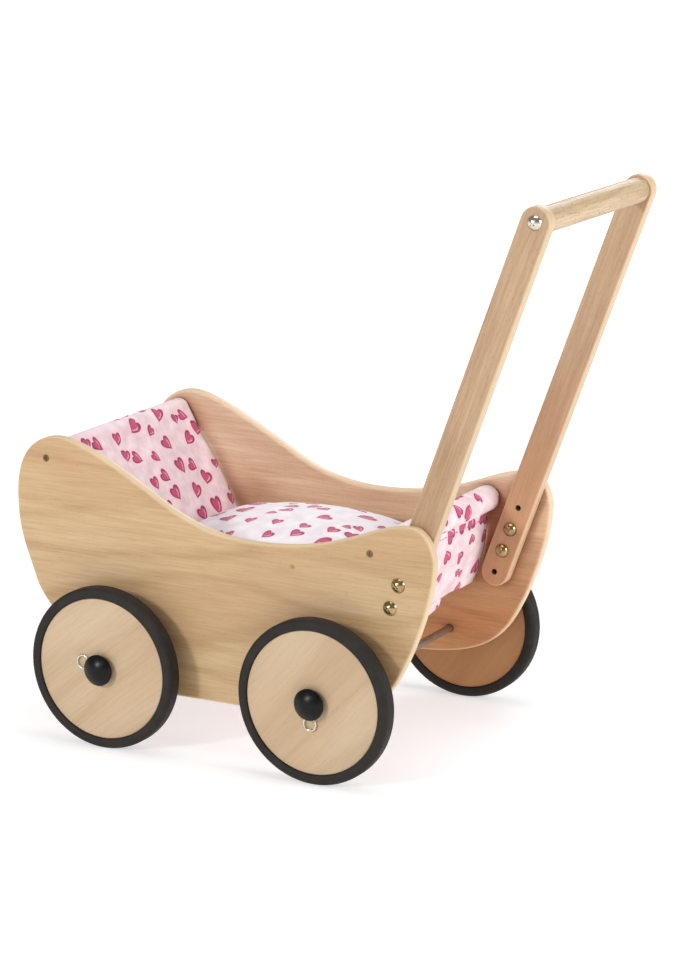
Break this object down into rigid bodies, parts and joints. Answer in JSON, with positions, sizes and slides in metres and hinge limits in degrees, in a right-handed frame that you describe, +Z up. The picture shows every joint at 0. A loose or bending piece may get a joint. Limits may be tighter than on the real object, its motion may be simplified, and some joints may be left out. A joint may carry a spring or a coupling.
{
  "type": "doll stroller",
  "caption": "Wooden doll stroller: two shaped side panels with a hung cloth bed and padded bedding, rubber-tyred wooden wheels on steel axles, and a leaning push handle with a round grip.",
  "frame": {"origin": "centre of the bounding box in plan, on the ground under the tyres", "axes": "+X towards the push handle, +Y towards the right-hand side panel as seen by whoever pushes, +Z up"},
  "size_m": [0.6076, 0.3838, 0.5956],
  "materials": {
    "panel_wood": "clear matt lacquer",
    "rod_wood": "sanded",
    "board_wood": "sanded",
    "arm_wood": "clear matt lacquer",
    "grip_wood": "clear matt lacquer",
    "disc_wood": "clear matt lacquer",
    "printed_cloth": "woven cotton with a small scattered heart print",
    "plain_cloth": "plain woven cotton",
    "tyre_rubber": "matt",
    "cap_plastic": "glossy",
    "sleeve_plastic": "matt",
    "axle_steel": "dull drawn steel",
    "clip_wire": "bright zinc wire",
    "dark_screw": "dark zinc",
    "nickel": "polished nickel",
    "brass": "polished brass"
  },
  "bodies": {
    "frame": {"side_panel_left": "panel_wood", "side_panel_right": "panel_wood", "head_rod": "rod_wood", "foot_rod": "rod_wood", "rod_screws": "dark_screw", "base_board": "board_wood", "fabric_sling": "printed_cloth", "axle_front": "axle_steel", "axle_rear": "axle_steel", "axle_sleeves": "sleeve_plastic", "handle_arm_left": "arm_wood", "handle_arm_right": "arm_wood", "grip_bar": "grip_wood", "grip_screws": "nickel", "handle_bolts": "brass", "handle_cap_nuts": "brass", "axle_cap_front_left": "cap_plastic", "axle_clip_front_left": "clip_wire", "axle_cap_front_right": "cap_plastic", "axle_clip_front_right": "clip_wire", "axle_cap_rear_left": "cap_plastic", "axle_clip_rear_left": "clip_wire", "axle_cap_rear_right": "cap_plastic", "axle_clip_rear_right": "clip_wire"},
    "mattress": {"mattress": "plain_cloth"},
    "duvet": {"duvet": "printed_cloth"},
    "wheel_front_left": {"wheel_disc_front_left": "disc_wood", "tyre_front_left": "tyre_rubber"},
    "wheel_front_right": {"wheel_disc_front_right": "disc_wood", "tyre_front_right": "tyre_rubber"},
    "wheel_rear_left": {"wheel_disc_rear_left": "disc_wood", "tyre_rear_left": "tyre_rubber"},
    "wheel_rear_right": {"wheel_disc_rear_right": "disc_wood", "tyre_rear_right": "tyre_rubber"}
  },
  "joints": [
    {"name": "mattress_lift", "type": "slide", "parent": "frame", "child": "mattress", "axis": [0, 0, 1], "range_m": [0, 0.2]},
    {"name": "duvet_lift", "type": "slide", "parent": "mattress", "child": "duvet", "axis": [0, 0, 1], "range_m": [0, 0.15]},
    {"name": "wheel_front_left_spin", "type": "hinge", "parent": "frame", "child": "wheel_front_left", "pos_m": [-0.17882, -0.1695, 0.086], "axis": [0, 1, 0], "continuous": true},
    {"name": "wheel_front_right_spin", "type": "hinge", "parent": "frame", "child": "wheel_front_right", "pos_m": [-0.17882, 0.1695, 0.086], "axis": [0, 1, 0], "continuous": true},
    {"name": "wheel_rear_left_spin", "type": "hinge", "parent": "frame", "child": "wheel_rear_left", "pos_m": [0.07118, -0.1695, 0.086], "axis": [0, 1, 0], "continuous": true},
    {"name": "wheel_rear_right_spin", "type": "hinge", "parent": "frame", "child": "wheel_rear_right", "pos_m": [0.07118, 0.1695, 0.086], "axis": [0, 1, 0], "continuous": true}
  ]
}
